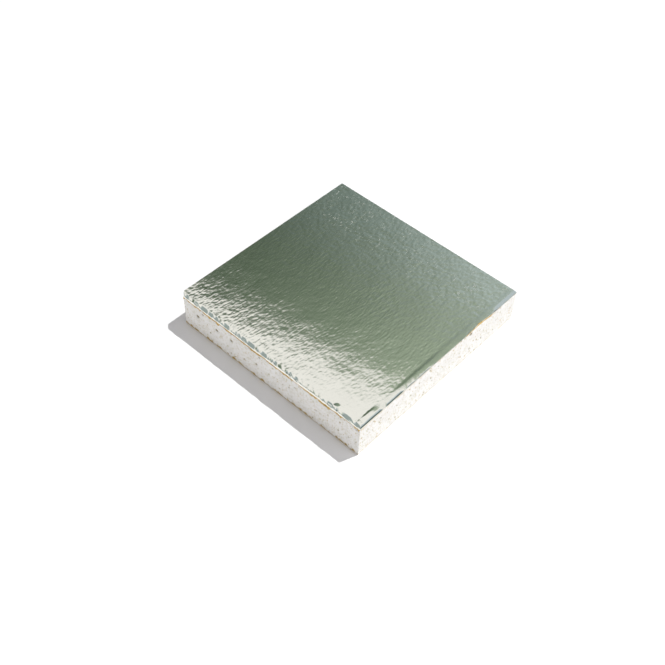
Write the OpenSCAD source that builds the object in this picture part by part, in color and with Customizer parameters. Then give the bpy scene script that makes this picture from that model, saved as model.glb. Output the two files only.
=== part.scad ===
// Foil-backed drywall, a square piece cut from the sheet.
// It lies flat with its foil side up. The origin is at the middle of the underside.
// The board was cut from the foil side on two edges, which turned the foil and its
// lining down a little over the gypsum there (-Y and +X). The other two edges are cut
// square, and the corner between -X and -Y is broken off.

/* [Board] */
// Width of the piece, along X
board_width = 75; // [30:1:150]
// Length of the piece, along Y
board_length = 75; // [30:1:150]
// Thickness over the foil and both linings
board_thickness = 12.5; // [9.5:0.5:19]
// How far the broken corner is cut back along both edges
corner_break = 1.5; // [1:0.5:6]

/* [Facings] */
// Thickness of the foil on the upper side
foil_thickness = 0.05; // [0.03:0.01:0.1]
// Thickness of the brown lining that the foil is bonded to
back_paper_thickness = 0.35; // [0.2:0.05:0.4]
// Thickness of the lining on the underside
face_paper_thickness = 0.35; // [0.2:0.05:0.5]

/* [Turned edges] */
// Outside radius of the shoulder that the foil turns over
shoulder_radius = 0.6; // [0.6:0.1:1]
// How far the brown lining reaches down the turned edges
edge_lap = 1; // [0.9:0.1:3]
// Height of the brown lining that shows below the foil
lining_reveal = 0.3; // [0.2:0.1:0.3]

/* [Hidden] */
// Length by which a cut passes the face that it cuts
overrun = 2;
// Depth of the core's surface under the outside of the turned facings
facing_depth = foil_thickness + back_paper_thickness;
// How far the foil itself reaches down the turned edges
foil_lap = edge_lap - lining_reveal;
// Smoothness of the turned shoulders in a preview
$fn = 96;

// Section across a turned edge: a square-cut end on the left, a round shoulder on the right.
// inset is the depth below the outside of the foil, and past lengthens the square-cut end.
module edge_section(span, inset, past) {
    radius = shoulder_radius - inset;
    start = -span / 2 - past;
    reach = span / 2 - inset;
    top = board_thickness - inset;
    translate([start, 0]) square([reach - start, top - radius]);
    translate([start, 0]) square([reach - radius - start, top]);
    translate([reach - radius, top - radius]) intersection() {
        circle(radius);
        square(radius);
    }
}

// The board's outside, or the surface that lies inset below it, with both turned shoulders.
module board_envelope(inset = 0, past = 0) {
    intersection() {
        rotate([90, 0, 0])
            linear_extrude(board_length + 2 * past, center = true)
                edge_section(board_width, inset, past);
        rotate([90, 0, -90])
            linear_extrude(board_width + 2 * past, center = true)
                edge_section(board_length, inset, past);
    }
}

// A flat slab over the whole plan of the board, from one height to another.
module plan_slab(bottom, top, past = 0) {
    translate([-board_width / 2 - past, -board_length / 2 - past, bottom])
        cube([board_width + 2 * past, board_length + 2 * past, top - bottom]);
}

// Everything above the lower edge of a facing that laps down by lap.
module lap_zone(lap) {
    plan_slab(board_thickness - lap, board_thickness + overrun, overrun);
}

// The piece that is missing at the broken corner, through every layer.
module broken_corner() {
    reach = corner_break + overrun;
    translate([-board_width / 2 - overrun, -board_length / 2 - overrun, -overrun])
        linear_extrude(board_thickness + 2 * overrun)
            polygon([[0, 0], [reach + overrun, 0], [0, reach + overrun]]);
}

// A bonded facing: a sheet of even thickness on the flat and round both shoulders.
module turned_facing(inset, thickness, lap) {
    difference() {
        intersection() {
            difference() {
                board_envelope(inset);
                board_envelope(inset + thickness, overrun);
            }
            lap_zone(lap);
        }
        broken_corner();
    }
}

// Cast gypsum, crushed back at both shoulders by the facings that turn over it.
module gypsum_core() {
    color("whitesmoke")
        difference() {
            union() {
                intersection() {
                    board_envelope(facing_depth);
                    lap_zone(edge_lap);
                }
                difference() {
                    board_envelope();
                    lap_zone(edge_lap);
                }
            }
            plan_slab(-overrun, face_paper_thickness, overrun);
            broken_corner();
        }
}

// Brown kraft lining under the foil. Its lower edge shows as a thin line below the foil.
module back_paper() {
    color("peru")
        turned_facing(foil_thickness, back_paper_thickness, edge_lap);
}

// Aluminium foil over the whole upper side.
module foil_facing() {
    color("silver")
        turned_facing(0, foil_thickness, foil_lap);
}

// Lining on the underside, cut flush with all four edges.
module face_paper() {
    color("burlywood")
        difference() {
            plan_slab(0, face_paper_thickness);
            broken_corner();
        }
}

gypsum_core();
back_paper();
foil_facing();
face_paper();
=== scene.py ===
import math

import bmesh
import bpy
import numpy as np
from mathutils import Matrix, Vector


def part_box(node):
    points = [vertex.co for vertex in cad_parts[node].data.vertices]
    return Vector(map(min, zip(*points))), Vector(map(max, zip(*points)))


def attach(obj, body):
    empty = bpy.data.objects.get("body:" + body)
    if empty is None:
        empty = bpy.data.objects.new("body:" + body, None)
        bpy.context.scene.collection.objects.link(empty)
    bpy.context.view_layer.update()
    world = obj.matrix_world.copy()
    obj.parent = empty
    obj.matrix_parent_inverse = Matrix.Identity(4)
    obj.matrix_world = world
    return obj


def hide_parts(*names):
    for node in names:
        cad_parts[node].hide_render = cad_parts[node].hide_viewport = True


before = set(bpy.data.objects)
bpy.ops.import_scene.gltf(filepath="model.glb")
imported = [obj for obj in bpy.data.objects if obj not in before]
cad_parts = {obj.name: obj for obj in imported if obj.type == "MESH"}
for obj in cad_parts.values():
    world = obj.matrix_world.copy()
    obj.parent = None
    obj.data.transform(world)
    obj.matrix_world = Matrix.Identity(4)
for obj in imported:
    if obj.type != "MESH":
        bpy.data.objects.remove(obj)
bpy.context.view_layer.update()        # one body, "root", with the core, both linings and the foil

# Foil-backed drywall, a square piece that lies flat with its foil side up.
# Shapes are worked out in millimetres in the frame's axes, and meshes are made in metres.

MM_PER_M = 1000.0


# Sizes from the frame

def high_corner(node):
    """Highest corner of a CAD node's box, in millimetres."""
    return np.array(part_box(node)[1]) * MM_PER_M


half_width, half_length, board_top = high_corner("foil_facing")
core_level = high_corner("gypsum_core")[2]
face_thickness = high_corner("face_paper")[2]
# Foil and its lining together
facing_depth = board_top - core_level

# Broken corner between -X and -Y: how far it is cut back along both edges
CORNER_BREAK = 1.5
# Reach across the board of the zone in which the foil turns down
SHOULDER_REACH = 1.2

# Where the flat of the facing ends: at the right, at the front and beside the broken corner
flat_right = half_width - SHOULDER_REACH
flat_front = -half_length + SHOULDER_REACH
flat_corner = CORNER_BREAK - SHOULDER_REACH


# Repeatable noise

LOW_32_BITS = 0xFFFFFFFF
# Odd factors that stir the numbers of a lattice point
COLUMN_FACTOR = 374761393
ROW_FACTOR = 668265263
SEED_FACTOR = 974634777
STIR_FACTOR = 1274126177
# Usual slope of the noise along one axis, for a swell of one unit
NOISE_SLOPE = 0.65
# Row of the noise that an uneven line is read from
LINE_ROW = 0.5


def lattice_value(column, row, seed):
    """Repeatable value from 0 to 1 for each point of a whole-number lattice."""
    mixed = (column * COLUMN_FACTOR + row * ROW_FACTOR + seed * SEED_FACTOR) & LOW_32_BITS
    mixed = ((mixed ^ (mixed >> 13)) * STIR_FACTOR) & LOW_32_BITS
    return ((mixed ^ (mixed >> 16)) & LOW_32_BITS) / LOW_32_BITS


def ease(share):
    """Smooth step from 0 to 1."""
    share = np.clip(share, 0.0, 1.0)
    return share * share * share * (share * (share * 6.0 - 15.0) + 10.0)


def noise(x, y, seed):
    """Smooth gradient noise, about -0.7 to 0.7, with one swell in each unit."""
    x = np.asarray(x, float)
    y = np.asarray(y, float)
    column = np.floor(x).astype(np.int64)
    row = np.floor(y).astype(np.int64)
    across = x - column
    along = y - row
    corners = []
    for step_x in (0, 1):
        for step_y in (0, 1):
            turn = 2.0 * math.pi * lattice_value(column + step_x, row + step_y, seed)
            corners.append(np.cos(turn) * (across - step_x) + np.sin(turn) * (along - step_y))
    blend_x = ease(across)
    blend_y = ease(along)
    near = corners[0] * (1.0 - blend_y) + corners[1] * blend_y
    far = corners[2] * (1.0 - blend_y) + corners[3] * blend_y
    return near * (1.0 - blend_x) + far * blend_x


def uneven(place, mean, *parts, row=LINE_ROW):
    """Uneven line round a mean, with parts: (height, size, seed)."""
    return mean + sum(height * noise(place / size, row, seed) for height, size, seed in parts)


def relief(x, y, size_x, size_y, tilt, seed):
    """Height of a bumpy surface whose swells have that size, and that usual tilt in degrees."""
    height = math.tan(math.radians(tilt)) * min(size_x, size_y) / NOISE_SLOPE
    return height * noise(x / size_x, y / size_y, seed)


def layered(x, y, layers):
    """Sum of bumpy surfaces, each given as its size across and along, tilt and seed."""
    return sum(relief(x, y, *layer) for layer in layers)


# Shapes along a line

def blend(ends, share):
    """Value between two ends."""
    return ends[0] + (ends[1] - ends[0]) * share


def fade(place, start, end):
    """Smooth share: 0 up to the start of a stretch, and 1 from its end on."""
    return ease((place - start) / (end - start))


def stretch_share(place, start, end, soft):
    """1 between two places and 0 outside, with soft ends."""
    return ease((place - start) / soft + 0.5) * ease((end - place) / soft + 0.5)


def bump(distance, width):
    """Bell of height 1 round zero."""
    return np.exp(-(distance / width) ** 2)


def nearest_mark(place, spacing, jitter, seed):
    """Distance to the nearest of a row of unevenly spaced marks, and that mark's own random value."""
    place = np.asarray(place, float)
    cell = np.floor(place / spacing).astype(np.int64)
    best = np.full(place.shape, np.inf)
    value = np.zeros(place.shape)
    for step in (-1, 0, 1):
        here = cell + step
        offset = (lattice_value(here, np.zeros_like(here), seed) - 0.5) * jitter
        away = place - (here + 0.5 + offset) * spacing
        closer = np.abs(away) < np.abs(best)
        best = np.where(closer, away, best)
        value = np.where(closer, lattice_value(here, np.ones_like(here), seed), value)
    return best, value


def scattered(place, marks, widths, heights):
    """Bells at unevenly spaced marks, each with its own width and height."""
    away, value = nearest_mark(place, *marks)
    return bump(away, blend(widths, value)) * blend(heights, value)


# Mesh building

def as_points(x, y, z):
    """Points from their places along the three axes."""
    return np.stack(np.broadcast_arrays(x, y, z), axis=-1)


class Skin:
    """Points, faces and one painted value a point, collected for a single mesh."""

    def __init__(self):
        self.points = []
        self.marks = []
        self.faces = []
        self.count = 0

    def add(self, points, mark=0.0):
        """Adds an array of points and returns their numbers in the same layout."""
        points = np.asarray(points, float)
        shape = points.shape[:-1]
        total = int(np.prod(shape))
        self.points.append(points.reshape(-1, 3))
        self.marks.append(np.broadcast_to(np.asarray(mark, float), shape).reshape(-1))
        numbers = np.arange(self.count, self.count + total).reshape(shape)
        self.count += total
        return numbers

    def sheet(self, numbers):
        """Four-sided faces over a two-way layout of point numbers."""
        corners = [numbers[:-1, :-1], numbers[1:, :-1], numbers[1:, 1:], numbers[:-1, 1:]]
        self.faces.extend(np.stack(corners, axis=-1).reshape(-1, 4).tolist())

    def closed_sheet(self, numbers):
        """The same over a layout whose last line joins its first."""
        self.sheet(np.concatenate([numbers, numbers[:1]], axis=0))

    def stitch(self, first, second):
        """Triangles between two lines of points that run side by side but differ in count."""
        first = list(first)
        second = list(second)
        here = 0
        there = 0
        while here < len(first) - 1 or there < len(second) - 1:
            next_here = (here + 1) / max(len(first) - 1, 1)
            next_there = (there + 1) / max(len(second) - 1, 1)
            along_first = there == len(second) - 1 or (here < len(first) - 1 and next_here <= next_there)
            if along_first:
                self.faces.append([first[here], first[here + 1], second[there]])
                here += 1
            else:
                self.faces.append([first[here], second[there + 1], second[there]])
                there += 1

    def build(self, name, material, sharp_angle):
        """Makes the object, in metres, with its normals outward."""
        used = np.unique(np.concatenate([np.array(face) for face in self.faces]))
        renumber = np.zeros(self.count, np.int64)
        renumber[used] = np.arange(len(used))
        points = np.concatenate(self.points)[used] / MM_PER_M
        mesh = bpy.data.meshes.new(name)
        mesh.from_pydata(points.tolist(), [], [renumber[face].tolist() for face in self.faces])
        paint = mesh.attributes.new("mark", "FLOAT", "POINT")
        paint.data.foreach_set("value", np.concatenate(self.marks)[used])
        whole = bmesh.new()
        whole.from_mesh(mesh)
        bmesh.ops.recalc_face_normals(whole, faces=whole.faces[:])
        whole.to_mesh(mesh)
        whole.free()
        mesh.shade_smooth()
        mesh.set_sharp_from_angle(angle=math.radians(sharp_angle))
        mesh.materials.append(material)
        piece = bpy.data.objects.new(name, mesh)
        bpy.context.scene.collection.objects.link(piece)
        return piece


def stand_in(piece, node):
    """The piece is part of the one body, and is shown in place of a CAD node."""
    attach(piece, "root")
    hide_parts(node)


# Turned edges: how they change along the front (-Y) and the right (+X)

TURNED_FACES = ("front", "right")

# Front shoulder: its drop and its wear, as uneven lines, and more wear towards the left end
FRONT_DROP = (0.38, (0.16, 2.3, 33), (0.10, 0.9, 36))
FRONT_WEAR = (0.66, (1.7, 3.3, 34), (0.4, 0.8, 35))
LEFT_WEAR = 0.4
LEFT_WEAR_ZONE = (-6.0, -18.0)
# Squareness where it is worn, and what is added where the wear is under a limit
WORN_SQUARENESS = 1.2
CRISP_SQUARENESS = 13.0
CRISP_LIMIT = 0.9
CRISP_CONTRAST = 1.8
# Slits across the front shoulder, and lumps on the torn lining below it:
# spacing, jitter and seed, and then the range of widths and of heights
SLITS = ((3.1, 0.9, 31), (0.2, 0.5), (1.6, 4.0))
LUMPS = ((2.2, 0.9, 51), (0.3, 0.7), (0.33, 1.1))

# Right shoulder: drop and squareness on the whole
RIGHT_DROP = 0.10
RIGHT_SQUARENESS = 9.0
# Dashes where it is rounded: start, end and share
ROUNDED_DASHES = ((-40.0, -27.0, 1.0), (-25.2, -17.8, 1.0), (-16.0, -12.8, 0.55), (-10.8, -5.5, 0.55))
DASH_SOFT = 0.9
DASH_DROP = 0.34
DASH_ROUNDING = 6.4
# Narrow bevel towards the back
BEVEL_ZONE = (22.0, 28.0)
BEVEL_DROP = 0.16
BEVEL_ROUNDING = 8.0
# Chip: where it starts and ends, over what length it sets in and fades out,
# and how much more lining it shows, with soft ends that run past the chip
CHIP = (11.8, 24.0)
CHIP_RISE = 1.2
CHIP_FADE = 7.0
CHIP_REVEAL = 0.40
CHIP_SOFT = 1.5
CHIP_OVERRUN = 1.0

# Near corner between the two: its reach along both edges, and its own shape
NEAR_CORNER_REACH = 1.6
NEAR_CORNER_DROP = 0.44
NEAR_CORNER_SQUARENESS = 2.4
NEAR_CORNER_SKIRT = 0.2

# Skirt of foil below the shoulder, and the brown lining that shows below the foil, as uneven lines
FRONT_SKIRT = (0.36, (0.30, 1.7, 41), (0.30, 0.75, 42))
FRONT_SKIRT_LEAST = 0.08
RIGHT_SKIRT = (0.03, (0.02, 0.8, 44))
FRONT_REVEAL = (0.24, (0.50, 1.1, 52))
RIGHT_REVEAL = (0.16, (0.22, 2.4, 53), (0.16, 0.9, 54))
REVEAL_LEAST = 0.06


class Edge:
    """Shape of a turned edge at places along it, on the front or on the right.

    The shoulder goes down by drop. Its squareness is 1 for a plain bevel, 2 for a round and more
    for a squarer one. foil_end and lining_end are depths of lower edges below the board's top.
    """

    def __init__(self, x, y, on_right):
        self.on_right = on_right
        from_corner = np.where(on_right, y - flat_front, flat_right - x)
        self.corner = 1.0 - ease(from_corner / NEAR_CORNER_REACH)
        self.set_shoulder(x, y)
        self.set_lower_edges(x, y)
        rise = np.clip((y - CHIP[0]) / CHIP_RISE, 0.0, 1.0)
        fall = np.clip((CHIP[1] - y) / CHIP_FADE, 0.0, 1.0)
        self.chip = np.where(on_right, fall * rise, 0.0)

    def meet(self, front, right, at_corner):
        """Front or right value, which goes over to the near corner's own."""
        return np.where(self.on_right, right, front) * (1.0 - self.corner) + at_corner * self.corner

    def set_shoulder(self, x, y):
        """Drop and squareness of the shoulder."""
        worn = uneven(x, *FRONT_WEAR) + LEFT_WEAR * fade(x, *LEFT_WEAR_ZONE)
        crisp = ease(CRISP_CONTRAST * (CRISP_LIMIT - worn))
        front_drop = uneven(x, *FRONT_DROP)
        front_square = WORN_SQUARENESS + CRISP_SQUARENESS * crisp + scattered(x, *SLITS)
        dash = sum(share * stretch_share(y, start, end, DASH_SOFT) for start, end, share in ROUNDED_DASHES)
        bevel = fade(y, *BEVEL_ZONE)
        right_drop = RIGHT_DROP + DASH_DROP * dash + BEVEL_DROP * bevel
        right_square = RIGHT_SQUARENESS - DASH_ROUNDING * dash - BEVEL_ROUNDING * bevel
        self.drop = self.meet(front_drop, right_drop, NEAR_CORNER_DROP)
        self.squareness = self.meet(front_square, right_square, NEAR_CORNER_SQUARENESS)

    def set_lower_edges(self, x, y):
        """Ragged lower edge of the foil, and torn lower edge of the lining below it."""
        front_skirt = np.maximum(uneven(x, *FRONT_SKIRT), FRONT_SKIRT_LEAST)
        right_skirt = uneven(y, *RIGHT_SKIRT)
        self.foil_end = self.drop + self.meet(front_skirt, right_skirt, NEAR_CORNER_SKIRT)
        front_reveal = uneven(x, *FRONT_REVEAL) + scattered(x, *LUMPS)
        chipped = stretch_share(y, CHIP[0], CHIP[1] + CHIP_OVERRUN, CHIP_SOFT)
        right_reveal = uneven(y, *RIGHT_REVEAL) + CHIP_REVEAL * chipped
        reveal = np.where(self.on_right, right_reveal, front_reveal)
        self.lining_end = self.foil_end + np.maximum(reveal, REVEAL_LEAST)


# Turned facing: the flat, and a lip that turns down over the front and right edges

# Least height of a shoulder, and of the skirt on a facing's inner side
LEAST_DROP = 0.03
LEAST_SKIRT = 0.05
# Rows of faces down the shoulder and the skirt of a facing's inner side
INNER_ROWS = (4, 2)


def spread(start, corner, end, cell):
    """Places along a flat's side: one at the broken corner's end, and then evenly on."""
    count = int(round((end - corner) / cell))
    return np.concatenate([[start], np.linspace(corner, end, count + 1)])


class TurnedSheet:
    """One side of a facing, as point positions: a flat and an L-shaped lip that share a border."""

    def __init__(self, inset, cell_x, cell_y, shoulder_rows, skirt_rows):
        self.inset = inset
        across = spread(-half_width, -half_width + flat_corner, flat_right, cell_x)
        along = spread(flat_front, flat_front + flat_corner, half_length, cell_y)
        self.flat_x, self.flat_y = np.meshgrid(across, along, indexing="ij")
        self.lip_x = np.concatenate([across[1:], np.full(len(along) - 1, flat_right)])
        self.lip_y = np.concatenate([np.full(len(across) - 1, flat_front), along[1:]])
        self.on_right = np.arange(len(self.lip_x)) >= len(across) - 1
        self.edge = Edge(self.lip_x, self.lip_y, self.on_right)
        self.turns = np.linspace(0.0, math.pi / 2.0, shoulder_rows + 1)[1:]
        self.skirt = np.linspace(0.0, 1.0, skirt_rows + 1)[1:]

    def flat(self, height):
        """Points on the flat at a height above the board's top."""
        return as_points(self.flat_x, self.flat_y, board_top + height)

    def lip(self, end, chip_depth):
        """Places on the lip, column by row, down to a depth below the board's top for each column."""
        reach = SHOULDER_REACH - self.inset - chip_depth * self.edge.chip
        drop = np.maximum(self.edge.drop - self.inset, LEAST_DROP)
        power = (2.0 / self.edge.squareness)[:, None]
        shoulder_out = np.sin(self.turns)[None, :] ** power
        shoulder_down = 1.0 - np.clip(np.cos(self.turns), 0.0, 1.0)[None, :] ** power
        skirt_out = np.ones((len(reach), len(self.skirt)))
        out = reach[:, None] * np.concatenate([shoulder_out, skirt_out], axis=1)
        skirt_down = drop[:, None] + np.outer(end - self.inset - drop, self.skirt)
        down = np.concatenate([drop[:, None] * shoulder_down, skirt_down], axis=1)
        to_back = (half_length - self.lip_y) / (half_length - flat_front)
        stretch = np.where(self.on_right, to_back, 1.0)
        x = self.lip_x[:, None] + out
        y = self.lip_y[:, None] - stretch[:, None] * out
        return x, y, board_top - self.inset - down

    def fill(self, skin, flat_points, lip_points, lip_mark=0.0):
        """Adds the sheet to a skin, and returns its border as lines of point numbers.

        The first line is the lip's lower edge, and the others follow it round.
        """
        flat = skin.add(flat_points)
        lip = skin.add(lip_points, lip_mark)
        skin.sheet(flat[:2, 1:])
        skin.sheet(flat[1:])
        skin.faces.append([flat[1, 0], flat[1, 1], flat[0, 1]])
        first_row = np.concatenate([flat[1:, 0], flat[-1, 1:]])
        skin.sheet(np.concatenate([first_row[:, None], lip], axis=1))
        right_end = np.concatenate([lip[-1, ::-1], [flat[-1, -1]]])
        left_end = np.concatenate([[flat[1, 0]], lip[0]])
        return [lip[:, -1], right_end, flat[::-1, -1], flat[0, :0:-1], flat[[0, 1], [1, 0]], left_end]


def close_facing(skin, border, inner, end, chip_depth):
    """Adds the plain inner side of a facing, and joins it to the outer side's border."""
    lip = inner.lip(np.maximum(end, inner.inset + LEAST_SKIRT), chip_depth)
    inner_border = inner.fill(skin, inner.flat(-inner.inset), as_points(*lip))
    for line, inner_line in zip(border, inner_border):
        skin.stitch(line, inner_line)


# Foil

FOIL_CELL_X = 0.19
FOIL_CELL_Y = 0.36
FOIL_INNER_CELL = 2.5
FOIL_ROWS = (9, 3)
FOIL_SHARP_ANGLE = 55.0
# Level of the creped foil's middle, and of its underside, below the board's top
FOIL_SETTLE = 0.03
FOIL_DEPTH = 0.15
# How far the foil is torn back where the edge is chipped
FOIL_CHIP = 0.7

# Layers of the creped relief: size across and along, tilt in degrees, and seed
SLOW_LAYERS = ((9.0, 13.0, 0.10, 11), (4.2, 5.0, 0.10, 12))
FINE_STREAKS = (0.40, 1.2, 0.75, 14)
BROAD_STREAKS = (0.72, 2.6, 0.35, 15)
GRAIN_LAYERS = ((0.55, 0.85, 0.3, 16), (1.4, 1.7, 0.14, 17))
HAMMERED_LAYERS = ((0.8, 0.9, 0.6, 18), (1.5, 1.7, 0.3, 19))
# How far the streaks wander sideways, over what length, and the seed
WANDER = 0.5
WANDER_SIZE = 6.0
WANDER_SEED = 13
# Zones of the flat, from where each sets in to where it is full
FRONT_ZONE = (-2.0, -2.0 - 0.8 * half_length)
BACK_ZONE = (-8.0, half_length - 8.0)
PRESSED_ZONE = (flat_right - 1.8, flat_right)
# Strength of a layer outside a zone and inside it
STREAKS_IN_FRONT = (0.85, 1.0)
STREAKS_AT_BACK = (1.0, 0.4)
GRAIN_IN_FRONT = (0.8, 1.0)
CREPE_WHERE_PRESSED = (1.0, 0.3)

# Where the relief is livelier, and by how much: the rear, a band across the middle, the front left,
# and a band across the left
REAR_GAIN = 0.4
REAR_ZONE = (-16.0, -8.0)
MIDDLE_GAIN = 0.8
MIDDLE_PLACE = 4.0
MIDDLE_REACH = 9.0
FRONT_LEFT_GAIN = 0.75
FRONT_LEFT_ACROSS = (28.0, -2.0)
FRONT_LEFT_ALONG = (-25.0, -34.0)
LEFT_GAIN = 0.2
LEFT_ACROSS = (4.0, -26.0)
LEFT_PLACE = -16.0
LEFT_REACH = 8.0

# Crumpled rim along the front edge: where it sets in, its lean, its relief, and how it comes and goes
RIM_ZONE = (2.6, 0.2)
CRUMPLED_LEAN = 0.4
CRUMPLED_LAYER = (0.6, 1.5, 4.0, 20)
CRUMPLED_SHARE = (0.5, (1.0, 5.0, 21))
# Stretch of the front edge where the foil is creased up, how high, how far in and how much it leans
CREASE = (26.2, 27.6)
CREASE_SOFT = 1.0
CREASE_HEIGHT = 0.17
CREASE_REACH = 2.4
CREASE_LEAN = 0.2

# Low ridge along the right edge, sharp near the front corner and soft further on:
# height, distance from the edge over which it rises, and stretch with its soft ends
ROLLS = (
    (0.07, (2.9, 2.0), (-34.6, -29.0, 5.0)),
    (0.042, (2.9, 2.0), (-37.0, -35.4, 1.2)),
    (0.055, (2.9, 1.4), (-20.0, -1.0, 9.0)),
    (0.02475, (2.9, 1.4), (0.0, 42.0, 8.0)),
)

# Swell of the turned lip, and how much of it the right edge has
LIP_LAYER = (1.1, 1.1, 4.0, 45)
RIGHT_LIP_SHARE = 0.25


def creped_relief(x, y):
    """Streaks and grain of the creped foil, which turn hammered towards the back."""
    front = fade(y, *FRONT_ZONE)
    back = fade(y, *BACK_ZONE)
    wander = WANDER * noise(x / WANDER_SIZE, y / WANDER_SIZE, WANDER_SEED)
    streak = relief(x + wander, y, *FINE_STREAKS) + relief(x - wander, y, *BROAD_STREAKS)
    streak = streak * blend(STREAKS_IN_FRONT, front) * blend(STREAKS_AT_BACK, back)
    grain = layered(x, y, GRAIN_LAYERS) * blend(GRAIN_IN_FRONT, front)
    creped = streak + grain + layered(x, y, HAMMERED_LAYERS) * back
    return creped * blend(CREPE_WHERE_PRESSED, fade(x, *PRESSED_ZONE))


def liveliness(x, y):
    """How strongly the creped relief shows over the flat."""
    gain = REAR_GAIN * fade(y, *REAR_ZONE) + MIDDLE_GAIN * bump(y - MIDDLE_PLACE, MIDDLE_REACH)
    gain = gain + FRONT_LEFT_GAIN * fade(x, *FRONT_LEFT_ACROSS) * fade(y, *FRONT_LEFT_ALONG)
    gain = gain + LEFT_GAIN * fade(x, *LEFT_ACROSS) * bump(y - LEFT_PLACE, LEFT_REACH)
    return 1.0 + gain


def front_rim(x, y):
    """Crumpled foil along the front edge, and one crease: a wedge that leans as it runs in."""
    inside = y + half_length
    crumpled = relief(x + CRUMPLED_LEAN * y, y, *CRUMPLED_LAYER) * uneven(x, *CRUMPLED_SHARE)
    wedge = np.clip(1.0 - inside / CREASE_REACH, 0.0, 1.0)
    crease = wedge * stretch_share(x - CREASE_LEAN * inside, *CREASE, CREASE_SOFT)
    return crumpled * fade(inside, *RIM_ZONE) + CREASE_HEIGHT * crease


def right_roll(x, y):
    """Low ridge along the right edge, pushed up by the cut."""
    inside = half_width - x
    return sum(height * fade(inside, *rise) * stretch_share(y, *stretch) for height, rise, stretch in ROLLS)


def foil_height(x, y):
    """Height of the foil's outside over the flat, above the board's top."""
    creped = creped_relief(x, y) * liveliness(x, y)
    return layered(x, y, SLOW_LAYERS) + creped + front_rim(x, y) + right_roll(x, y) - FOIL_SETTLE


def make_foil(material):
    """Thin aluminium skin over the whole upper side."""
    skin = Skin()
    outer = TurnedSheet(0.0, FOIL_CELL_X, FOIL_CELL_Y, *FOIL_ROWS)
    height = foil_height(outer.flat_x, outer.flat_y)
    x, y, z = outer.lip(outer.edge.foil_end, FOIL_CHIP)
    rows = np.arange(1, x.shape[1] + 1) / x.shape[1]
    border_height = np.concatenate([height[1:, 0], height[-1, 1:]])
    swell = relief(outer.lip_x[:, None] + rows, outer.lip_y[:, None] - rows, *LIP_LAYER)
    swell = np.where(outer.on_right[:, None], RIGHT_LIP_SHARE, 1.0) * swell * np.sin(math.pi * rows)
    lip = as_points(x, y, z + np.outer(border_height, 1.0 - rows) + swell)
    border = outer.fill(skin, outer.flat(height), lip)
    inner = TurnedSheet(FOIL_DEPTH, FOIL_INNER_CELL, FOIL_INNER_CELL, *INNER_ROWS)
    close_facing(skin, border, inner, inner.edge.foil_end, FOIL_CHIP)
    piece = skin.build("foil_facing_dressed", material, FOIL_SHARP_ANGLE)
    stand_in(piece, "foil_facing")


# Kraft lining under the foil

LINING_CELL_X = 0.26
LINING_CELL_Y = 0.5
LINING_INNER_CELL = 3.0
LINING_ROWS = (5, 6)
PAPER_SHARP_ANGLE = 50.0
# How far the lining lies behind the foil's outside, and at its own torn edge
LINING_INSET = 0.18
TORN_INSET = 0.03
# How far the lining is torn back where the edge is chipped
LINING_CHIP = 0.25
# Depth below the foil's edge over which the lining comes out to its torn edge
BARE_ZONE = (-0.06, 0.14)
# Part of the lip that is torn open at the chip, as shares of its rows: where it sets in, and ends
TORN_START = (0.1, 0.25)
TORN_END = (0.75, 0.55)


def make_lining(material):
    """Brown paper under the foil, with a torn lower edge that shows below it."""
    skin = Skin()
    outer = TurnedSheet(LINING_INSET, LINING_CELL_X, LINING_CELL_Y, *LINING_ROWS)
    x, y, z = outer.lip(outer.edge.lining_end, LINING_CHIP)
    bare = fade(board_top - outer.edge.foil_end[:, None] - z, *BARE_ZONE)
    push = (LINING_INSET - TORN_INSET) * bare
    x = x + np.where(outer.on_right[:, None], push, 0.0)
    y = y - np.where(outer.on_right[:, None], 0.0, push)
    rows = np.arange(1, z.shape[1] + 1) / z.shape[1]
    torn = np.outer(outer.edge.chip, fade(rows, *TORN_START) * fade(rows, *TORN_END))
    border = outer.fill(skin, outer.flat(-LINING_INSET), as_points(x, y, z), torn)
    inner = TurnedSheet(facing_depth, LINING_INNER_CELL, LINING_INNER_CELL, *INNER_ROWS)
    close_facing(skin, border, inner, inner.edge.lining_end, LINING_CHIP)
    piece = skin.build("back_paper_dressed", material, PAPER_SHARP_ANGLE)
    stand_in(piece, "back_paper")


# Outline of the board in plan, and flat caps inside it

PLAN_CELL = 0.28
CAP_CELL = 3.0
CAP_MARGIN = 3.0


def plan_outline():
    """Points round the board in plan, anticlockwise from the front face's left end.

    Returns the face that each point belongs to, its x and y, and the way into the board there.
    """
    corners = [
        ("front", (-half_width + CORNER_BREAK, -half_length), (0.0, 1.0)),
        ("right", (half_width, -half_length), (-1.0, 0.0)),
        ("back", (half_width, half_length), (0.0, -1.0)),
        ("left", (-half_width, half_length), (1.0, 0.0)),
        ("corner", (-half_width, -half_length + CORNER_BREAK), (math.sqrt(0.5), math.sqrt(0.5))),
    ]
    faces = []
    places = []
    inward = []
    for number, (face, start, way) in enumerate(corners):
        end = corners[(number + 1) % len(corners)][1]
        count = max(2, int(round(math.dist(start, end) / PLAN_CELL)))
        share = np.arange(count)[:, None] / count
        places.append(np.array(start) * (1.0 - share) + np.array(end) * share)
        faces.extend([face] * count)
        inward.extend([way] * count)
    return np.array(faces), np.concatenate(places), np.array(inward)


def sides_of(faces, ring):
    """A closed ring of point numbers, cut into four sides; the broken corner goes with the left."""
    side = np.where(faces == "corner", "left", faces)
    closed = np.concatenate([ring, ring[:1]])
    lines = []
    for name in ("front", "right", "back", "left"):
        places = np.flatnonzero(side == name)
        lines.append(closed[places[0]:places[-1] + 2])
    return lines


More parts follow.
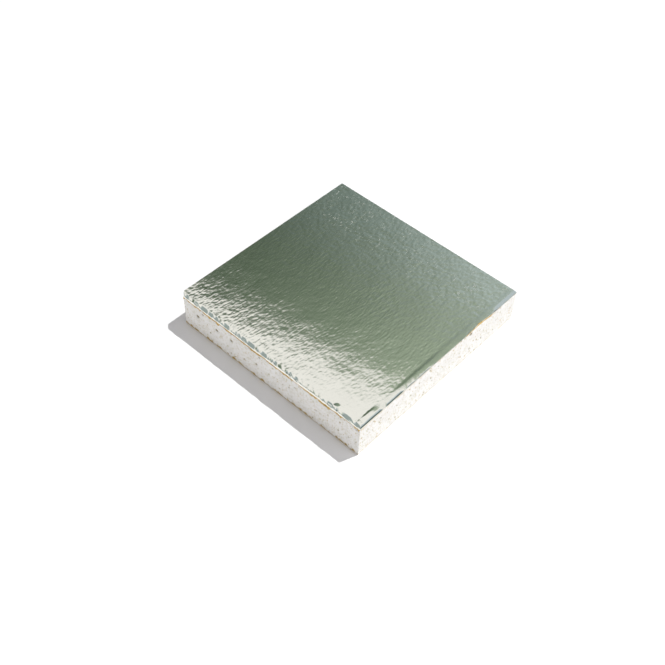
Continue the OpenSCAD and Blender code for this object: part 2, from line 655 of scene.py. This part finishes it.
def cap(skin, lines, z):
    """Flat cap inside four lines of point numbers: a band of triangles and a plain grid."""
    edge_x = half_width - CAP_MARGIN
    edge_y = half_length - CAP_MARGIN
    across = np.linspace(-edge_x, edge_x, int(2.0 * half_width / CAP_CELL))
    along = np.linspace(-edge_y, edge_y, int(2.0 * half_length / CAP_CELL))
    grid_x, grid_y = np.meshgrid(across, along, indexing="ij")
    grid = skin.add(as_points(grid_x, grid_y, z))
    skin.sheet(grid)
    for line, inner in zip(lines, (grid[:, 0], grid[-1, :], grid[::-1, -1], grid[0, ::-1])):
        skin.stitch(line, inner)


# Gypsum core

WALL_CELL = 0.26
CORE_SHARP_ANGLE = 60.0
# How far the sawn faces lie behind the board's outline on the whole
SAW_DEPTH = 0.05
# Sawn relief: size along and up, and tilt in degrees
FINE_SAWN = (0.9, 0.8, 3.0)
COARSE_SAWN = (2.8, 2.4, 1.0)

# Air holes that stand out, by face: place along the face, height, width and depth
PORES = {
    "front": [
        (-30.0, 7.4, 1.1, 0.5), (-21.4, 7.6, 1.0, 0.45), (-14.9, 7.9, 0.9, 0.4), (9.6, 6.6, 0.55, 0.35),
        (-4.1, 5.8, 0.7, 0.4), (-27.6, 9.9, 0.6, 0.35), (-2.8, 9.9, 0.7, 0.35), (-24.4, 4.2, 0.5, 0.3),
        (33.5, 4.8, 0.5, 0.35), (36.2, 4.8, 0.5, 0.35), (29.4, 4.3, 0.5, 0.35), (12.1, 8.5, 0.5, 0.3),
        (20.6, 5.6, 0.45, 0.3),
    ],
    "right": [
        (13.9, 11.0, 1.1, 0.35), (29.0, 11.2, 0.6, 0.3), (-4.1, 4.5, 0.6, 0.35), (14.5, 3.7, 0.6, 0.35),
        (20.4, 4.3, 0.55, 0.35), (27.3, 2.6, 0.55, 0.35), (-14.3, 6.4, 0.5, 0.3), (-4.9, 6.4, 0.5, 0.3),
        (-33.8, 8.6, 0.5, 0.3), (-28.3, 8.7, 0.55, 0.3), (-20.8, 7.7, 0.5, 0.3), (-1.8, 9.3, 0.5, 0.3),
        (24.3, 3.4, 0.45, 0.3), (27.8, 6.9, 0.5, 0.3),
    ],
}
# Their half width and half height as shares of the width, their soft rim, and how ragged they are
PORE_HALF = (0.7, 0.52)
PORE_RIM = (1.2, 0.7)
PORE_RAGGED = 0.35
RAGGED_SIZE = 0.45
LEAST_HOLE = 0.02
# Small air holes all over: size along and up, the noise range in which they open, depth and mark
SPOT_SIZE = (0.95, 0.9)
SPOT_RANGE = (0.42, 0.56)
SPOT_DEPTH = 0.15
# This mark gives the small air holes the pores' full dark brown, which is partly painted shade inside them
SPOT_MARK = 0.7

# How strongly the lower edge of each sawn face is stained, and the seed of the face's noises
STAIN_SHARE = {"front": 1.0, "right": 0.2, "back": 0.5, "left": 0.6, "corner": 1.0}
FACE_SEEDS = {"front": 61, "right": 62, "back": 63, "left": 64, "corner": 65}
# Stain above the underside lining: usual height, soft edge, mark, and the clumps that it comes in
STAIN_HEIGHT = 0.35
STAIN_SOFT = 0.35
STAIN_MARK = 0.9
CLUMP_HEIGHT = 1.5
CLUMP_SIZE = 1.5
FINE_CLUMP_SHARE = 0.6
FINE_CLUMP_SIZE = 0.6

# How far the core reaches up behind the lining's torn edge, but not above this far below the foil's
CORE_BEHIND = 0.28
CORE_BELOW_FOIL = 0.02
# How deep it is tucked in there, and over what depth below its top that sets in
CORE_TUCK = 0.3
TUCK_ZONE = (0.45, 0.25)
# Reach of the plain stretch at the upright corners
PLAIN_CORNER = 0.6


def wall_relief(face, place, z):
    """Depth that a sawn face is cut back by, and its mark: above 0 in a pore, and below 0 in a stain."""
    seed = FACE_SEEDS[face]
    rough = relief(place, z, *FINE_SAWN, seed) + relief(place, z, *COARSE_SAWN, seed + 10)
    small = fade(noise(place / SPOT_SIZE[0], z / SPOT_SIZE[1], seed + 20), *SPOT_RANGE)
    depth = SAW_DEPTH + rough + SPOT_DEPTH * small
    fine_clump = noise(place / FINE_CLUMP_SIZE, z / FINE_CLUMP_SIZE, seed + 50)
    clump = noise(place / CLUMP_SIZE, LINE_ROW, seed + 40) + FINE_CLUMP_SHARE * fine_clump
    stain_top = face_thickness + STAIN_HEIGHT + CLUMP_HEIGHT * clump
    stain = STAIN_SHARE[face] * ease((stain_top - z) / STAIN_SOFT)
    mark = SPOT_MARK * small - STAIN_MARK * stain
    ragged = 1.0 + PORE_RAGGED * noise(place / RAGGED_SIZE, z / RAGGED_SIZE, seed + 30)
    for centre, height, width, deep in PORES.get(face, ()):
        along = (place - centre) / (PORE_HALF[0] * width)
        up = (z - height) / (PORE_HALF[1] * width)
        hole = fade(np.hypot(along, up) * ragged, *PORE_RIM)
        depth = depth + deep * hole
        mark = np.where(hole > LEAST_HOLE, np.maximum(mark, hole), mark)
    return np.maximum(depth, 0.0), mark


def core_top(face, x, y):
    """Height at which the core's side ends: behind the torn lining on turned edges, else under it."""
    if face in TURNED_FACES:
        edge = Edge(x, y, np.full(x.shape, face == "right"))
        return board_top - np.maximum(edge.lining_end - CORE_BEHIND, edge.foil_end + CORE_BELOW_FOIL)
    from_turned = half_width - x if face == "back" else y + half_length
    return np.where(from_turned < facing_depth, core_level - facing_depth, core_level)


def core_side(faces, plan, inward):
    """Points down the core's side, column by row, their marks, and the height of each column's top."""
    rows = int(round((core_level - face_thickness) / WALL_CELL))
    share = np.linspace(0.0, 1.0, rows + 1)
    top = np.zeros(len(plan))
    depth = np.zeros((len(plan), rows + 1))
    mark = np.zeros((len(plan), rows + 1))
    for face in FACE_SEEDS:
        mine = faces == face
        top[mine] = core_top(face, plan[mine, 0], plan[mine, 1])
        z = top[mine, None] * (1.0 - share) + face_thickness * share
        place = plan[mine, 0] if face in ("front", "back") else plan[mine, 1]
        depth[mine], mark[mine] = wall_relief(face, place[:, None], z)
        if face in TURNED_FACES:
            tucked = CORE_TUCK * fade(top[mine, None] - z, *TUCK_ZONE)
            depth[mine] = np.maximum(depth[mine], tucked)
    from_corner = half_width - np.abs(plan[:, 0]) + half_length - np.abs(plan[:, 1])
    depth = depth * ease(from_corner / PLAIN_CORNER)[:, None]
    z = top[:, None] * (1.0 - share) + face_thickness * share
    side = plan[:, None, :] + inward[:, None, :] * depth[..., None]
    return np.concatenate([side, z[..., None]], axis=-1), mark, top


def make_core(material):
    """Porous gypsum block, sawn on its sides."""
    skin = Skin()
    faces, plan, inward = plan_outline()
    side, mark, top = core_side(faces, plan, inward)
    wall = skin.add(side, mark)
    skin.closed_sheet(wall)
    shrink = 1.0 - facing_depth / half_width
    ledge_x = np.minimum(plan[:, 0], half_width - facing_depth)
    ledge_y = np.maximum(plan[:, 1], -half_length + facing_depth)
    on_turned = np.isin(faces, TURNED_FACES)[:, None]
    ledge_plan = np.where(on_turned, np.stack([ledge_x, ledge_y], axis=-1), plan * shrink)
    ledge = skin.add(as_points(*ledge_plan.T, top))
    raised_x = np.minimum(plan[:, 0], flat_right) * shrink
    raised_y = np.maximum(plan[:, 1], flat_front) * shrink
    raised = skin.add(as_points(raised_x, raised_y, core_level))
    skin.closed_sheet(np.stack([wall[:, 0], ledge, raised], axis=1))
    cap(skin, sides_of(faces, raised), core_level)
    cap(skin, sides_of(faces, wall[:, -1]), face_thickness)
    piece = skin.build("gypsum_core_dressed", material, CORE_SHARP_ANGLE)
    stand_in(piece, "gypsum_core")


# Lining on the underside

# How far its edge is torn back, as an uneven line, and how much more at the bottom
FACE_TEAR = (0.06, (0.12, 0.9, 71), (0.08, 0.45, 72))
BOTTOM_TEAR = 0.12
# Step in the noise from one ring of the edge to the next
RING_STEP = 0.37


def make_face_paper(material):
    """Paper on the underside, with a slightly torn edge."""
    skin = Skin()
    faces, plan, inward = plan_outline()
    run = np.arange(len(plan)) * PLAN_CELL
    rings = []
    for number, level in enumerate((face_thickness, face_thickness * 0.5, 0.0)):
        tear = uneven(run, *FACE_TEAR, row=number * RING_STEP)
        tear = tear + (BOTTOM_TEAR if level == 0.0 else 0.0)
        edge = plan + inward * np.maximum(tear, 0.0)[:, None]
        rings.append(as_points(*edge.T, level))
    torn = np.array([STAIN_SHARE[face] for face in faces])
    wall = skin.add(np.stack(rings, axis=1), torn[:, None])
    skin.closed_sheet(wall)
    cap(skin, sides_of(faces, wall[:, 0]), face_thickness)
    cap(skin, sides_of(faces, wall[:, -1]), 0.0)
    piece = skin.build("face_paper_dressed", material, PAPER_SHARP_ANGLE)
    stand_in(piece, "face_paper")


# Shader building

# Places of the colour sockets on a mix node
MIX_FIRST = 6
MIX_SECOND = 7
MIX_RESULT = 2
# Width of the soft rim of a speck, as a share of the specks' spacing
SPECK_RIM = 0.12


def grey(level):
    """Colour without a hue."""
    return (level, level, level)


BLACK = grey(0.0)
WHITE = grey(1.0)


class Nodes:
    """Short ways to add and join shader nodes."""

    def __init__(self, tree):
        self.tree = tree
        tree.nodes.clear()

    def feed(self, socket, value):
        """Joins another socket to this one, or sets it to a plain value or colour."""
        if isinstance(value, bpy.types.NodeSocket):
            self.tree.links.new(value, socket)
        elif socket.type == "RGBA":
            socket.default_value = (*value, 1.0)
        else:
            socket.default_value = value

    def add(self, kind, inputs=None, **settings):
        """A new node with some of its settings and inputs."""
        node = self.tree.nodes.new(kind)
        for name, value in settings.items():
            setattr(node, name, value)
        for name, value in (inputs or {}).items():
            self.feed(node.inputs[name], value)
        return node

    def place(self):
        """Position on the object, in millimetres."""
        position = self.add("ShaderNodeTexCoord").outputs["Object"]
        scale = (MM_PER_M, MM_PER_M, MM_PER_M)
        return self.add("ShaderNodeMapping", {"Vector": position, "Scale": scale}).outputs["Vector"]

    def noise(self, place, size, detail=2.0, stretch=(1.0, 1.0, 1.0)):
        """Noise whose swells are about that many millimetres across."""
        scale = tuple(1.0 / (size * part) for part in stretch)
        scaled = self.add("ShaderNodeMapping", {"Vector": place, "Scale": scale}).outputs["Vector"]
        inputs = {"Vector": scaled, "Scale": 1.0, "Detail": detail}
        return self.add("ShaderNodeTexNoise", inputs).outputs["Fac"]

    def ramp(self, value, *stops):
        """Colour or grey by value: stops are (position, colour)."""
        node = self.add("ShaderNodeValToRGB", {"Fac": value})
        while len(node.color_ramp.elements) < len(stops):
            node.color_ramp.elements.new(0.5)
        for element, (position, colour) in zip(node.color_ramp.elements, stops):
            element.position = position
            element.color = (*colour, 1.0)
        return node.outputs["Color"]

    def mix(self, share, first, second, **settings):
        """Colour that goes from the first to the second."""
        inputs = {"Factor": share, MIX_FIRST: first, MIX_SECOND: second}
        return self.add("ShaderNodeMix", inputs, data_type="RGBA", **settings).outputs[MIX_RESULT]

    def share(self, value, start, end):
        """0 to 1 as a value goes from start to end."""
        inputs = {"Value": value, "From Min": start, "From Max": end}
        return self.add("ShaderNodeMapRange", inputs).outputs["Result"]

    def calculate(self, operation, first, second, clamp=False):
        """Sum, difference or product of two values."""
        node = self.add("ShaderNodeMath", {0: first, 1: second}, operation=operation, use_clamp=clamp)
        return node.outputs["Value"]

    def parts(self, vector):
        """The three parts of a position."""
        return self.add("ShaderNodeSeparateXYZ", {"Vector": vector}).outputs

    def specks(self, place, spacing, widest):
        """Scattered round specks of mixed sizes: their share, and a value that differs by speck."""
        cells = self.add("ShaderNodeTexVoronoi", {"Vector": place, "Scale": 1.0 / spacing})
        values = self.add("ShaderNodeSeparateColor", {"Color": cells.outputs["Color"]})
        size = self.share(values.outputs["Red"], 0.0, 1.0 / widest)
        depth = self.calculate("SUBTRACT", size, cells.outputs["Distance"])
        return self.share(depth, 0.0, SPECK_RIM), values.outputs["Green"]

    def mark(self):
        """The value painted on the mesh."""
        return self.add("ShaderNodeAttribute", attribute_name="mark").outputs["Fac"]

    def raised(self, height, strength, distance_mm):
        """Normal of a fine relief."""
        inputs = {"Height": height, "Strength": strength, "Distance": distance_mm / MM_PER_M}
        return self.add("ShaderNodeBump", inputs).outputs["Normal"]

    def surface(self, inputs):
        """The main shader, joined to the output."""
        shader = self.add("ShaderNodeBsdfPrincipled", inputs).outputs["BSDF"]
        self.add("ShaderNodeOutputMaterial", {"Surface": shader})


def new_material(name):
    """Empty node material and its nodes."""
    material = bpy.data.materials.new(name)
    material.use_nodes = True
    return material, Nodes(material.node_tree)


# Foil material

FOIL_DARK = (0.80, 0.79, 0.725)
FOIL_LIGHT = (0.815, 0.805, 0.74)
FOIL_ROUGHNESS = (0.06, 0.085)
SCUFF_ROUGHNESS = 0.5
# Band along the back edge in which the foil is scuffed, and the part of it with full scuffs
SCUFF_BAND = 26.0
SCUFF_FULL = 0.4 * SCUFF_BAND
# The scuffs and the grain run along the board
SCUFF_STRETCH = (0.7, 1.5, 1.0)
GRAIN_STRETCH = (0.75, 1.7, 1.0)


def scuffs(nodes, place):
    """Share of scuffs: patches of flecks, and scratches between them, along the back edge."""
    along = nodes.parts(place)["Y"]
    back = nodes.share(along, half_length - SCUFF_BAND, half_length - SCUFF_FULL)
    patches = nodes.noise(place, size=6.0, detail=2.0)
    flecks = nodes.noise(place, size=0.9, detail=3.0, stretch=SCUFF_STRETCH)
    lines = nodes.noise(place, size=3.2, detail=1.0, stretch=SCUFF_STRETCH)
    patch = nodes.ramp(patches, (0.46, BLACK), (0.60, WHITE))
    fleck = nodes.ramp(flecks, (0.57, BLACK), (0.66, WHITE))
    scratch = nodes.ramp(lines, (0.49, BLACK), (0.50, grey(0.8)), (0.51, BLACK))
    return nodes.calculate("MULTIPLY", nodes.mix(patch, scratch, fleck), back)


def foil_material():
    """Bright rolled aluminium with a fine creped relief, lightly scuffed along the back."""
    material, nodes = new_material("foil")
    place = nodes.place()
    colour = nodes.ramp(nodes.noise(place, size=7.0), (0.3, FOIL_DARK), (0.7, FOIL_LIGHT))
    haze = nodes.noise(place, size=3.0, detail=3.0)
    rough = nodes.ramp(haze, (0.3, grey(FOIL_ROUGHNESS[0])), (0.75, grey(FOIL_ROUGHNESS[1])))
    scuffed = nodes.mix(scuffs(nodes, place), rough, grey(SCUFF_ROUGHNESS))
    grain = nodes.noise(place, size=0.38, detail=2.0, stretch=GRAIN_STRETCH)
    normal = nodes.raised(grain, strength=0.5, distance_mm=0.01)
    nodes.surface({"Metallic": 1.0, "Base Color": colour, "Roughness": scuffed, "Normal": normal})
    return material


# Kraft lining material

KRAFT_DARK = (0.36, 0.22, 0.04)
KRAFT_BROWN = (0.58, 0.38, 0.10)
KRAFT_LIGHT = (0.72, 0.52, 0.20)
TORN_OPEN = (0.80, 0.74, 0.62)
KRAFT_ROUGHNESS = 0.85
# The fibres lie flat
FIBRE_STRETCH = (1.6, 1.6, 0.5)


def lining_material():
    """Brown kraft paper, fibrous at the tear and pale where it is torn open."""
    material, nodes = new_material("kraft_lining")
    place = nodes.place()
    fibre = nodes.noise(place, size=0.7, detail=4.0, stretch=FIBRE_STRETCH)
    brown = nodes.ramp(fibre, (0.3, KRAFT_DARK), (0.5, KRAFT_BROWN), (0.72, KRAFT_LIGHT))
    spots = nodes.ramp(nodes.noise(place, size=0.5, detail=3.0), (0.42, BLACK), (0.54, WHITE))
    colour = nodes.mix(nodes.calculate("MULTIPLY", nodes.mark(), spots), brown, TORN_OPEN)
    normal = nodes.raised(fibre, strength=0.5, distance_mm=0.08)
    nodes.surface({"Base Color": colour, "Roughness": KRAFT_ROUGHNESS, "Normal": normal})
    return material


# Gypsum material

GYPSUM_DARK = (0.84, 0.825, 0.79)
GYPSUM_LIGHT = (0.90, 0.89, 0.865)
GRAIN_TAN = (0.58, 0.54, 0.40)
DOT_GREENISH = (0.68, 0.64, 0.47)
DOT_TAN = (0.60, 0.49, 0.30)
SPECK_GREENISH = (0.56, 0.53, 0.35)
SPECK_TAN = (0.60, 0.46, 0.22)
SPECK_BROWN = (0.38, 0.31, 0.14)
STAIN_BROWN = (0.45, 0.31, 0.09)
# Dark brown inside the pores and small air holes: partly their own brown, partly painted shade in the holes
PORE_BROWN_AND_SHADE = (0.28, 0.22, 0.10)
GYPSUM_ROUGHNESS = 0.92
GYPSUM_SPECULAR = 0.25
# Spacing of the dots and of the specks, and how wide the widest are, as a share of it
DOTS = (0.72, 0.36)
SPECKS = (1.5, 0.27)
# Painted marks at which a stain sets in and is full
STAIN_MARKS = (-0.15, -0.7)


def gypsum_material():
    """Cast gypsum: off-white, with fine tan and greenish specks, brown in its stains, and dark brown in its
    pores that is partly their own brown and partly painted shade.
    """
    material, nodes = new_material("gypsum")
    place = nodes.place()
    cloud = nodes.noise(place, size=4.0, detail=3.0)
    base = nodes.ramp(cloud, (0.3, GYPSUM_DARK), (0.7, GYPSUM_LIGHT))
    fine = nodes.noise(place, size=0.6, detail=2.0)
    grainy = nodes.mix(nodes.ramp(fine, (0.50, BLACK), (0.68, grey(0.42))), base, GRAIN_TAN)
    dot_share, dot_pick = nodes.specks(place, *DOTS)
    dot_colour = nodes.ramp(dot_pick, (0.3, DOT_GREENISH), (0.7, DOT_TAN))
    dotted = nodes.mix(dot_share, grainy, dot_colour)
    speck_share, speck_pick = nodes.specks(place, *SPECKS)
    speck_colour = nodes.ramp(speck_pick, (0.2, SPECK_GREENISH), (0.5, SPECK_TAN), (0.8, SPECK_BROWN))
    speckled = nodes.mix(speck_share, dotted, speck_colour)
    stained = nodes.mix(nodes.share(nodes.mark(), *STAIN_MARKS), speckled, STAIN_BROWN)
    # Painted shade in the pores and small air holes, together with their own brown
    pore_brown_and_shade = nodes.ramp(nodes.mark(), (0.3, BLACK), (0.7, WHITE))
    grit = nodes.noise(place, size=0.18, detail=4.0)
    nodes.surface({
        "Base Color": nodes.mix(pore_brown_and_shade, stained, PORE_BROWN_AND_SHADE),
        "Roughness": GYPSUM_ROUGHNESS,
        "Specular IOR Level": GYPSUM_SPECULAR,
        "Normal": nodes.raised(grit, strength=0.6, distance_mm=0.06),
    })
    return material


# Material of the lining on the underside

FACE_DARK = (0.72, 0.63, 0.46)
FACE_LIGHT = (0.84, 0.77, 0.62)
FACE_TORN = (0.44, 0.30, 0.09)
FACE_ROUGHNESS = 0.88


def face_paper_material():
    """Pale board paper, with brown torn spots round the edges that are marked."""
    material, nodes = new_material("face_lining")
    place = nodes.place()
    fibre = nodes.noise(place, size=0.5, detail=4.0)
    pale = nodes.ramp(fibre, (0.3, FACE_DARK), (0.7, FACE_LIGHT))
    spots = nodes.ramp(nodes.noise(place, size=1.5, detail=3.0), (0.44, BLACK), (0.55, grey(0.95)))
    colour = nodes.mix(nodes.calculate("MULTIPLY", spots, nodes.mark()), pale, FACE_TORN)
    normal = nodes.raised(fibre, strength=0.4, distance_mm=0.05)
    nodes.surface({"Base Color": colour, "Roughness": FACE_ROUGHNESS, "Normal": normal})
    return material


# Camera, at the photo's viewing angle

CAMERA_PLACE = Vector((0.138625, -0.171860, 0.240076))
CAMERA_YAW = math.radians(40.1425)
CAMERA_PITCH = math.radians(48.1964)
CAMERA_ROLL = math.radians(3.2857)
SENSOR_WIDTH = 36.0
LENS = 54.596
CLIP_START = 0.005
CLIP_END = 50.0


def add_camera():
    """Camera that looks down on the board's front corner."""
    back = Vector((
        math.sin(CAMERA_YAW) * math.cos(CAMERA_PITCH),
        -math.cos(CAMERA_YAW) * math.cos(CAMERA_PITCH),
        math.sin(CAMERA_PITCH),
    ))
    level = Vector((math.cos(CAMERA_YAW), math.sin(CAMERA_YAW), 0.0))
    rise = back.cross(level)
    right = math.cos(CAMERA_ROLL) * level + math.sin(CAMERA_ROLL) * rise
    up = math.cos(CAMERA_ROLL) * rise - math.sin(CAMERA_ROLL) * level
    lens = bpy.data.cameras.new("camera")
    lens.sensor_width = SENSOR_WIDTH
    lens.lens = LENS
    lens.clip_start = CLIP_START
    lens.clip_end = CLIP_END
    camera = bpy.data.objects.new("camera", lens)
    turn = Matrix((right, up, back)).transposed().to_4x4()
    camera.matrix_world = Matrix.Translation(CAMERA_PLACE) @ turn
    bpy.context.scene.collection.objects.link(camera)
    bpy.context.scene.camera = camera


# Light

SUN_WAY = Vector((0.150, 0.410, 0.865))
SUN_DISTANCE = 2.0
SUN_STRENGTH = 2.35
SUN_ANGLE = math.radians(0.9)
AMBIENT = (0.36, 0.355, 0.362)
# Soft fills from the right and the front: name, place, power and colour
FILL_SIZE = 0.9
FILLS = (
    ("fill", (1.2, 0.25, 0.35), 5.8, (0.96, 0.965, 1.0)),
    ("front_fill", (0.15, -1.3, 0.16), 2.8, WHITE),
)


def add_lamp(name, kind, place, strength):
    """Lamp that points at the board."""
    data = bpy.data.lights.new(name, kind)
    data.energy = strength
    lamp = bpy.data.objects.new(name, data)
    lamp.location = place
    lamp.rotation_euler = place.to_track_quat("Z", "Y").to_euler()
    bpy.context.scene.collection.objects.link(lamp)
    return lamp


def add_lamps():
    """Small hard key light from high over the back, and soft low fills from the right and the front."""
    sun = add_lamp("key", "SUN", SUN_WAY * SUN_DISTANCE, SUN_STRENGTH)
    sun.data.angle = SUN_ANGLE
    sun.visible_glossy = False
    for name, place, power, colour in FILLS:
        fill = add_lamp(name, "AREA", Vector(place), power)
        fill.data.color = colour
        fill.data.size = FILL_SIZE
        fill.visible_glossy = False


def set_world():
    """White studio: full white to the camera and in reflections, a softer level as light."""
    world = bpy.data.worlds.new("studio")
    world.use_nodes = True
    bpy.context.scene.world = world
    nodes = Nodes(world.node_tree)
    path = nodes.add("ShaderNodeLightPath").outputs
    seen = nodes.calculate("ADD", path["Is Camera Ray"], path["Is Glossy Ray"])
    shown = nodes.calculate("ADD", seen, path["Is Transmission Ray"], clamp=True)
    light = nodes.add("ShaderNodeBackground", {"Color": AMBIENT}).outputs["Background"]
    white = nodes.add("ShaderNodeBackground", {"Color": WHITE}).outputs["Background"]
    both = nodes.add("ShaderNodeMixShader", {"Fac": shown, 1: light, 2: white}).outputs["Shader"]
    nodes.add("ShaderNodeOutputWorld", {"Surface": both})


# Floor

FLOOR_SIZE = 12.0
FLOOR_COLOUR = (0.95, 0.95, 0.95)


def add_plane(name, low, high, material):
    """One flat stage rectangle between two corners."""
    mesh = bpy.data.meshes.new(name)
    corners = [(*low, 0.0), (high[0], low[1], 0.0), (*high, 0.0), (low[0], high[1], 0.0)]
    mesh.from_pydata(corners, [], [(0, 1, 2, 3)])
    mesh.materials.append(material)
    plane = bpy.data.objects.new(name, mesh)
    bpy.context.scene.collection.objects.link(plane)
    return plane


def add_floor():
    """Plain white floor under the board."""
    material, nodes = new_material("floor")
    nodes.surface({"Base Color": FLOOR_COLOUR, "Roughness": 1.0, "Specular IOR Level": 0.0})
    half = FLOOR_SIZE / 2.0
    add_plane("floor", (-half, -half), (half, half), material)


# Dim cards that the foil mirrors, far off, so that the whole board mirrors them alike

CARD_DISTANCE = 8.0
CARD_HALF_WIDTH = 1.2 * CARD_DISTANCE
# Stretch of the overhead card that the board mirrors to the camera
CARD_ACROSS = (-0.12 * CARD_DISTANCE, 0.20 * CARD_DISTANCE)
CARD_SOFT_EDGE = (-0.0069 * CARD_DISTANCE, 0.0051 * CARD_DISTANCE)

# Colours across the cards and into them, which are multiplied
EVEN = ((0.0, WHITE), (1.0, WHITE))
TOP_ACROSS = (
    (0.0, (0.231, 0.248, 0.234)), (0.22, (0.32, 0.335, 0.322)), (0.5, (0.506, 0.506, 0.506)),
    (0.8, (0.826, 0.787, 0.822)), (1.0, (1.0, 0.94, 1.0)),
)
TOP_DEEP = (
    (0.0, (0.43, 0.56, 0.406)), (0.15, (0.415, 0.545, 0.396)), (0.4, (0.38, 0.49, 0.373)),
    (0.6, (0.405, 0.514, 0.442)), (0.82, (0.478, 0.61, 0.572)), (1.0, (0.546, 0.695, 0.665)),
)
FRONT_DEEP = ((0.0, (0.46, 0.53, 0.54)), (1.0, (0.36, 0.43, 0.44)))
RIGHT_DEEP = ((0.0, (0.56, 0.65, 0.71)), (0.55, (0.54, 0.63, 0.69)), (0.85, (0.10, 0.135, 0.125)))
# Cards: name, way to the edge, way from there into the card, colours across and into it,
# and as shares of the distance how far in those colours reach and how deep the card is
CARDS = (
    ("overhead_card", (-0.609, 0.632, 1.0), (-0.224, 1.0, -0.768), TOP_ACROSS, TOP_DEEP, 0.18, 1.2),
    ("front_card", (-0.45, 0.35, 1.0), (0.0, -1.0, 0.35), EVEN, FRONT_DEEP, 0.18, 1.2),
    ("right_card", (-0.21, 0.64, 1.0), (1.0, 0.0, 0.21), EVEN, RIGHT_DEEP, 0.45, 2.4),
)


def card_material(name, across_stops, deep_stops, deep_end):
    """Dim glow that fades in from the card's edge and varies over the card."""
    material, nodes = new_material(name)
    parts = nodes.parts(nodes.add("ShaderNodeTexCoord").outputs["Object"])
    across = nodes.ramp(nodes.share(parts["X"], *CARD_ACROSS), *across_stops)
    deep = nodes.ramp(nodes.share(parts["Y"], 0.0, deep_end), *deep_stops)
    product = nodes.mix(1.0, across, deep, blend_type="MULTIPLY")
    colour = nodes.mix(nodes.share(parts["Y"], *CARD_SOFT_EDGE), WHITE, product)
    glow = nodes.add("ShaderNodeEmission", {"Color": colour}).outputs["Emission"]
    nodes.add("ShaderNodeOutputMaterial", {"Surface": glow})
    return material


def add_card(name, way, edge_normal, material, depth):
    """Card seen only in reflections. Its own X runs along the edge, and its own Y into the card."""
    way = way.normalized()
    inward = (edge_normal - edge_normal.dot(way) * way).normalized()
    along = inward.cross(way)
    card = add_plane(name, (-CARD_HALF_WIDTH, CARD_SOFT_EDGE[0]), (CARD_HALF_WIDTH, depth), material)
    turn = Matrix((along, inward, way)).transposed().to_4x4()
    card.matrix_world = Matrix.Translation(way * CARD_DISTANCE) @ turn
    card.visible_camera = False
    card.visible_diffuse = False
    card.visible_shadow = False


def add_cards():
    """A dim green-grey card over the back left, and blue-grey ones over the front and the right."""
    for name, way, inward, across, deep, deep_end, depth in CARDS:
        material = card_material(name, across, deep, deep_end * CARD_DISTANCE)
        add_card(name, Vector(way), Vector(inward), material, depth * CARD_DISTANCE)


# Put it together

add_camera()
set_world()
add_lamps()
add_floor()
add_cards()
make_core(gypsum_material())
make_face_paper(face_paper_material())
make_lining(lining_material())
make_foil(foil_material())

view = bpy.context.scene.view_settings
view.view_transform = "Standard"
